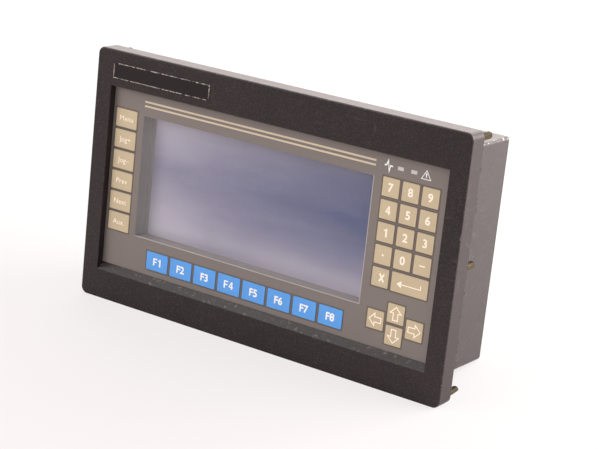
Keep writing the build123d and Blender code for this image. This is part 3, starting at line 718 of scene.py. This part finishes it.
ENTER_PEN = 0.5 * MM
centre, surface = key_centre("key_enter")
HOOK = [(-5.4, -0.6), (6.6, -0.6), (6.6, 1.6)]
HEAD = [(-7.6, -0.6), (-4.8, 1.3), (-4.8, -2.5)]
stroke("key_enter_line", around(centre, HOOK, MM), ENTER_PEN, False, surface, cream_ink, "key_enter")
ink_piece("key_enter_head", [around(centre, HEAD, MM)], surface - INK / 2, cream_ink, "key_enter")

ARROW_PEN = 0.55 * MM
ARROW = [(0.0, 3.7), (3.3, 0.4), (1.4, 0.4), (1.4, -3.5), (-1.4, -3.5), (-1.4, 0.4), (-3.3, 0.4)]
TURNS = {"key_up": 0.0, "key_left": math.pi / 2, "key_down": math.pi, "key_right": -math.pi / 2}
for key, turn in TURNS.items():
    centre, surface = key_centre(key)
    stroke(f"{key}_legend", around(centre, ARROW, MM, turn), ARROW_PEN, True, surface, cream_ink, key)
print("signs", 4 + len(TURNS))

# %% [markdown]
# ## What is printed on the overlay itself
# Two stripes run along the top of the window. A darker ring round every key is painted shade: it stands in
# for the shadow in the embossed gap, which is what makes the keys look raised. By the two lamps are a pulse
# and a triangle, which say running and fault.

# %% Overlay print and painted key shade
window_low, window_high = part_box("display_window")
OVERLAY_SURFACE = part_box("keypad_overlay")[0].y
STRIPE_HEIGHT = 1.0 * MM
STRIPE_RISES = (5.6 * MM, 8.05 * MM)
STRIPE_OVERHANG = 0.4 * MM
window_middle = (window_low.x + window_high.x) / 2
window_width = window_high.x - window_low.x
stripes = [rectangle((window_middle, window_high.z + rise), window_width + STRIPE_OVERHANG, STRIPE_HEIGHT)
           for rise in STRIPE_RISES]
ink_piece("overlay_stripes", stripes, OVERLAY_SURFACE, stripe_ink, PANEL)

SHADE_RING_WIDTH = 0.62 * MM
HOLE_GAP = 0.15 * MM


def surround(key):
    """Four bars of painted shade round a key's opening, for the shadow in its embossed gap."""
    low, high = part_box(key)
    x0, x1 = low.x - HOLE_GAP, high.x + HOLE_GAP
    z0, z1 = low.z - HOLE_GAP, high.z + HOLE_GAP
    wide, tall = x1 - x0 + 2 * SHADE_RING_WIDTH, z1 - z0
    middle_x, middle_z = (x0 + x1) / 2, (z0 + z1) / 2
    return [rectangle((middle_x, z0 - SHADE_RING_WIDTH / 2), wide, SHADE_RING_WIDTH),
            rectangle((middle_x, z1 + SHADE_RING_WIDTH / 2), wide, SHADE_RING_WIDTH),
            rectangle((x0 - SHADE_RING_WIDTH / 2, middle_z), SHADE_RING_WIDTH, tall),
            rectangle((x1 + SHADE_RING_WIDTH / 2, middle_z), SHADE_RING_WIDTH, tall)]


# Painted shade: a darker ring round each key stands in for the shadow in its embossed gap.
bars = [outline for key in KEYS for outline in surround(key)]
ink_piece("key_gap_shading", bars, OVERLAY_SURFACE, brown_ink, PANEL, INK / 2)

lamp_low, lamp_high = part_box("lamp_lenses")
lamp_middle_z = (lamp_low.z + lamp_high.z) / 2
PULSE = [(-2.5, 0.0), (-1.3, 0.2), (-0.45, 2.7), (0.5, -3.0), (1.0, 0.1), (2.5, 0.0)]
TRIANGLE = [(-2.7, -2.1), (2.7, -2.1), (0.0, 2.5)]
PULSE_GAP = 5.45 * MM
PULSE_RISE = 0.2 * MM
PULSE_PEN = 0.72 * MM
TRIANGLE_GAP = 5.55 * MM
TRIANGLE_PEN = 0.36 * MM
pulse_centre = Vector((lamp_low.x - PULSE_GAP, lamp_middle_z + PULSE_RISE))
triangle_centre = Vector((lamp_high.x + TRIANGLE_GAP, lamp_middle_z))
stroke("pulse_sign", around(pulse_centre, PULSE, MM), PULSE_PEN, False, OVERLAY_SURFACE, white_ink, PANEL)
stroke("triangle_sign", around(triangle_centre, TRIANGLE, MM), TRIANGLE_PEN, True, OVERLAY_SURFACE, white_ink,
       PANEL)
BAR_TAPER = [(-0.42, 1.1), (0.42, 1.1), (0.2, -1.3), (-0.2, -1.3)]
ink_piece("triangle_bar", [around(triangle_centre, BAR_TAPER, MM)], OVERLAY_SURFACE, white_ink, PANEL)
print("overlay print pieces", 5)

# %% [markdown]
# ## The window's cut edge
# Where the film stops at the window, its cut edge shows as a thin pale line along the bottom and the right.
# It is a small sloped bead, so it catches light the way an edge does, but its pale colour, put on those two
# sides only, is partly a painted highlight.

# %% Window edge
edge_highlight_plastic = textured("edge_highlight_plastic", rgb(178, 168, 164), rgb(196, 188, 184), rgb(200, 192, 188), 0.35,
                        bump=0.03, drift=0.08, wear=0.0)
BEAD = 0.42 * MM
BEAD_RISE = 0.08 * MM
RIDGE_SHARE = 0.35


def bead(name, start, end, inward):
    """A three-sided strip whose ridge stands just proud of the overlay."""
    a, b, side = Vector(start), Vector(end), Vector(inward) * BEAD
    section = [(Vector((0, 0)), 0.0), (side * RIDGE_SHARE, -BEAD_RISE), (side, 0.0)]
    bm = bmesh.new()
    rows = []
    for end_point in (a, b):
        rows.append([bm.verts.new((end_point.x + s.x, OVERLAY_SURFACE + rise, end_point.y + s.y))
                     for s, rise in section])
    for i in range(3):
        j = (i + 1) % 3
        bm.faces.new([rows[0][i], rows[1][i], rows[1][j], rows[0][j]])
    bm.faces.new(rows[0])
    bm.faces.new(list(reversed(rows[1])))
    piece = place_piece(solid_mesh(bm, name), name, edge_highlight_plastic, PANEL)


# Only the bottom and right get a bead: their pale colour is partly a painted highlight.
bead("window_edge_highlight_bottom", (window_low.x, window_low.z), (window_high.x, window_low.z), (0, 1))
bead("window_edge_highlight_right", (window_high.x, window_low.z), (window_high.x, window_high.z), (-1, 0))
print("window edge", round((window_high.x - window_low.x) / MM, 1), "mm wide")

# %% [markdown]
# ## The collar round the window
# Between the clear sheet and the display there is a thin grey collar that keeps dust out. It also hides the
# black wall of the opening and the cut edge of the keypad board. It is four strips as thin as card,
# standing in the narrow gap that the window leaves in its hole.

# %% Window collar
COLLAR_OFF = 0.02 * MM
COLLAR_WALL = 0.06 * MM
COLLAR_SINK = 0.03 * MM
collar_front = OVERLAY_SURFACE + COLLAR_SINK
collar_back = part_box("display_frame")[0].y
x0, x1 = window_low.x - COLLAR_OFF, window_high.x + COLLAR_OFF
z0, z1 = window_low.z - COLLAR_OFF, window_high.z + COLLAR_OFF
collar_x, collar_z = (x0 + x1) / 2, (z0 + z1) / 2
strips = [rectangle((x0 - COLLAR_WALL / 2, collar_z), COLLAR_WALL, z1 - z0),
          rectangle((x1 + COLLAR_WALL / 2, collar_z), COLLAR_WALL, z1 - z0),
          rectangle((collar_x, z0 - COLLAR_WALL / 2), x1 - x0, COLLAR_WALL),
          rectangle((collar_x, z1 + COLLAR_WALL / 2), x1 - x0, COLLAR_WALL)]
flat_piece("window_collar", strips, collar_front, collar_back, frame_paint, PANEL)
print("collar depth", round((collar_back - collar_front) / MM, 2))

# %% [markdown]
# ## Frayed gasket
# The foam rubber gasket behind the bezel has torn, and its ragged crumbs stick out past the bezel's rear
# edge. Each is a small uneven wedge with a random outline, drawn from a seeded generator so that it comes
# out the same every time.

# %% Gasket crumbs
bezel_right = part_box("bezel")[1].x
FRAYS = (53, 51, 38, 34, 31, -13, -24, -38, -41, -44, -50)
CRUMB_ROOT = 3.0 * MM
CRUMB_FRONT = 0.02 * MM


def crumb(bm, x, z):
    """A ragged little wedge that grows out of the gasket towards the right."""
    length = random.uniform(1.2, 3.0) * MM
    depth = random.uniform(1.0, 1.7) * MM
    tip = x - random.uniform(0.05, 0.35) * MM
    root = tip - CRUMB_ROOT
    outline = [(root, z - length / 2), (tip - 0.2 * MM, z - length / 2), (tip, z - length * 0.2),
               (tip - 0.1 * MM, z + length * 0.15), (tip, z + length * 0.4), (root, z + length / 2)]
    prism(bm, outline, CRUMB_FRONT, depth)


def gasket_crumbs():
    bm = bmesh.new()
    for height in FRAYS:
        crumb(bm, bezel_right, (height + random.uniform(-0.8, 0.8)) * MM)
    piece = place_piece(solid_mesh(bm, "gasket_crumbs"), "gasket_crumbs", foam_rubber, PANEL)
    return piece


print("crumb faces", len(gasket_crumbs().data.polygons))

# %% [markdown]
# ## Threaded studs
# The six studs are plain rods in the CAD, because a thread's size there is only its outer diameter. The
# real ones are M4. A boolean cut of a helix is slow and fragile. Instead each stud is a tube of rings whose
# radius follows the thread: it depends on the height and on the angle together, so the ridge climbs one
# pitch in every turn.

# %% Threaded studs
THREAD_PITCH = 0.7 * MM
THREAD_DEPTH = 0.42 * MM
TIP_TAPER = 0.6 * MM
SIDES = 24
RINGS_PER_PITCH = 8
STUD_RADIUS = 2.0 * MM
STUD_INSET = 2.3 * MM
STUD_ROOT = 1.0 * MM


def thread_radius(distance, turn, full, length):
    """The radius at a distance along the stud and an angle, given as a share of a turn."""
    phase = (distance / THREAD_PITCH - turn) % 1.0
    ridge = 1.0 - abs(2.0 * phase - 1.0)
    radius = full - THREAD_DEPTH * (1.0 - ridge)
    return min(radius, full - max(0.0, distance - (length - TIP_TAPER)))


def add_stud(bm, x, z, full, start, length):
    rings = []
    count = int(length / THREAD_PITCH * RINGS_PER_PITCH)
    for i in range(count + 1):
        distance = length * i / count
        ring = []
        for k in range(SIDES):
            angle = 2 * math.pi * k / SIDES
            radius = thread_radius(distance, k / SIDES, full, length)
            across, up = radius * math.cos(angle), radius * math.sin(angle)
            ring.append(bm.verts.new((x + across, start + distance, z + up)))
        rings.append(ring)
    for lower, upper in zip(rings, rings[1:]):
        for k in range(SIDES):
            j = (k + 1) % SIDES
            bm.faces.new([lower[k], lower[j], upper[j], upper[k]])
    bm.faces.new(rings[0])
    bm.faces.new(list(reversed(rings[-1])))


def threaded_studs():
    low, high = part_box("mounting_studs")
    bm = bmesh.new()
    for x in (low.x + STUD_INSET, high.x - STUD_INSET):
        for z in (low.z + STUD_INSET, 0.0, high.z - STUD_INSET):
            add_stud(bm, x, z, STUD_RADIUS, -STUD_ROOT, high.y + STUD_ROOT)
    piece = place_piece(solid_mesh(bm, "threaded_studs"), "threaded_studs", tarnished_brass, PANEL)
    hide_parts("mounting_studs")
    return piece


print("stud faces", len(threaded_studs().data.polygons))

# %% [markdown]
# ## The table
# The panel stands on its bezel's lower front edge and leans back onto the lower rear edge of its box, so in
# the panel's own frame the table is a plane tilted about X. The tilt follows from those two edges.

# %% Table
bezel_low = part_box("bezel")[0]
box_low, box_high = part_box("rear_housing")
TILT = math.atan2(box_low.z - bezel_low.z, box_high.y - bezel_low.y)
across_table = Vector((1, 0, 0))
into_table = Vector((0, math.cos(TILT), math.sin(TILT)))
table_up = Vector((0, -math.sin(TILT), math.cos(TILT)))
TABLE_GAP_MM = 0.05
TABLE_POINT = Vector((0, bezel_low.y, bezel_low.z)) - table_up * TABLE_GAP_MM * MM
TABLE_REACH = 6.0
PAINTED_SHADE_NEAR, PAINTED_SHADE_FAR = -0.12, 0.3
CLEAR_SHARE = 0.8


def table_material():
    """White board that the camera sees mostly at full white, with painted shade in front; its shadow stays
    faint.
    """
    material, graph, shader = new_material("white_table")
    clouds = graph.noise(1.2, 2.0, 0.5, graph.place())
    graph.feed(shader, "Base Color", graph.mix(clouds, (0.56, 0.545, 0.54, 1.0), (0.59, 0.575, 0.57, 1.0)))
    shader.inputs["Roughness"].default_value = 0.7
    shader.inputs["Specular IOR Level"].default_value = 0.2
    seen = graph.add("ShaderNodeLightPath").outputs["Is Camera Ray"]
    # Painted shade: the camera's white is darker and warmer in front of the panel, whiter behind it.
    away = graph.add("ShaderNodeSeparateXYZ", {0: graph.place()}).outputs["Y"]
    far = graph.ramp(away, PAINTED_SHADE_NEAR, PAINTED_SHADE_FAR)
    white = graph.mix(far, rgb(246, 241, 240), rgb(254, 254, 254))
    glow = graph.add("ShaderNodeEmission", {"Color": white, "Strength": 1.0})
    share = graph.math("MULTIPLY", seen, CLEAR_SHARE)
    blend = graph.add("ShaderNodeMixShader", {0: share, 1: shader.outputs[0], 2: glow.outputs[0]})
    output = graph.tree.nodes["Material Output"]
    graph.feed(output, "Surface", blend.outputs[0])
    return material


def make_table():
    bm = bmesh.new()
    corners = [TABLE_POINT + across_table * sx * TABLE_REACH + into_table * sy * TABLE_REACH
               for sx, sy in ((-1, -1), (1, -1), (1, 1), (-1, 1))]
    bm.faces.new([bm.verts.new(corner) for corner in corners])
    mesh = bpy.data.meshes.new("table")
    bm.to_mesh(mesh)
    bm.free()
    mesh.materials.append(table_material())
    table = bpy.data.objects.new("table", mesh)
    bpy.context.scene.collection.objects.link(table)


make_table()
print("tilt", round(math.degrees(TILT), 2))

# %% [markdown]
# ## Light
# The object is near black, so it is lit for its reflections: a wide soft box low behind its left lays a
# pale sheen on the top faces, another behind its right does the same for the side, a small one at the upper
# left draws the thin light line along the top edge, one overhead gives the short shadow, and one in front
# keeps the face readable. The world is white to the camera, through clear pieces and in reflections, and
# dimmer as a light.

# %% Lamps and world
def table_frame(azimuth, elevation):
    """A direction from its azimuth and elevation above the table."""
    a, e = math.radians(azimuth), math.radians(elevation)
    across, depth, height = math.sin(a) * math.cos(e), -math.cos(a) * math.cos(e), math.sin(e)
    return across_table * across + into_table * depth + table_up * height


def soft_box(name, azimuth, elevation, distance, size, power, colour):
    """A flat lamp that faces the origin from a distance in metres."""
    light = bpy.data.lights.new(name, "AREA")
    light.shape = "RECTANGLE"
    light.size, light.size_y = size
    light.energy = power
    light.color = colour
    lamp = bpy.data.objects.new(name, light)
    direction = table_frame(azimuth, elevation)
    lamp.location = direction * distance
    lamp.rotation_mode = "QUATERNION"
    lamp.rotation_quaternion = direction.to_track_quat("Z", "Y")
    bpy.context.scene.collection.objects.link(lamp)


# Each row is a name, azimuth, elevation, distance, size, power and colour.
LAMPS = (
    ("right_back_box", 128, 26, 1.25, (1.2, 1.0), 50.0, (1.0, 0.95, 0.94)),
    ("left_back_box", 208, 24, 1.4, (1.8, 0.9), 19.0, (1.0, 0.9, 0.86)),
    ("top_left_box", -80, 58, 1.3, (0.5, 0.5), 3.5, (1.0, 0.98, 0.97)),
    ("overhead_box", 180, 72, 1.2, (0.5, 0.5), 3.5, (1.0, 0.97, 0.96)),
    ("front_box", -42, 38, 1.5, (1.0, 1.0), 10.2, (1.0, 0.98, 0.97)),
)
for row in LAMPS:
    soft_box(*row)


ROOM_LIGHT = 0.55


def make_world():
    """White to the eye, through clear pieces and in reflections, and dimmer as a light."""
    world = bpy.data.worlds.new("white_room")
    world.use_nodes = True
    graph = Graph(world.node_tree)
    graph.tree.nodes.clear()
    path = graph.add("ShaderNodeLightPath")
    seen = graph.math("MAXIMUM", path.outputs["Is Camera Ray"], path.outputs["Is Transmission Ray"])
    seen = graph.math("MAXIMUM", seen, path.outputs["Is Glossy Ray"])
    dim = graph.add("ShaderNodeBackground", {"Color": (0.98, 0.97, 0.97, 1), "Strength": ROOM_LIGHT})
    bright = graph.add("ShaderNodeBackground", {"Color": (1, 1, 1, 1), "Strength": 1.0})
    blend = graph.add("ShaderNodeMixShader", {0: seen, 1: dim.outputs[0], 2: bright.outputs[0]})
    graph.add("ShaderNodeOutputWorld", {"Surface": blend.outputs[0]})
    bpy.context.scene.world = world


make_world()
bpy.context.scene.view_settings.view_transform = "Standard"
print("lamps", len(LAMPS))

# %% [markdown]
# ## Camera
# The view is from the right and above, about a metre away with a long lens, which keeps the verticals
# nearly parallel.

# %% Camera
AZIMUTH = 35.07
ELEVATION = 23.76
DISTANCE = 0.9557
LENS = 109.75
AIM = Vector((24.4 * MM, bezel_low.y, 3.1 * MM))
camera_data = bpy.data.cameras.new("camera")
camera_data.lens = LENS
camera_data.sensor_width = 36.0
camera_data.clip_start = 0.05
camera_data.clip_end = 50.0
camera = bpy.data.objects.new("camera", camera_data)
bpy.context.scene.collection.objects.link(camera)
view_back = table_frame(AZIMUTH, ELEVATION)
right = table_up.cross(view_back).normalized()
up = view_back.cross(right)
camera.matrix_world = Matrix.Translation(AIM + view_back * DISTANCE) @ Matrix(
    (right, up, view_back)).transposed().to_4x4()
bpy.context.scene.camera = camera
print("camera", [round(v, 3) for v in camera.location])
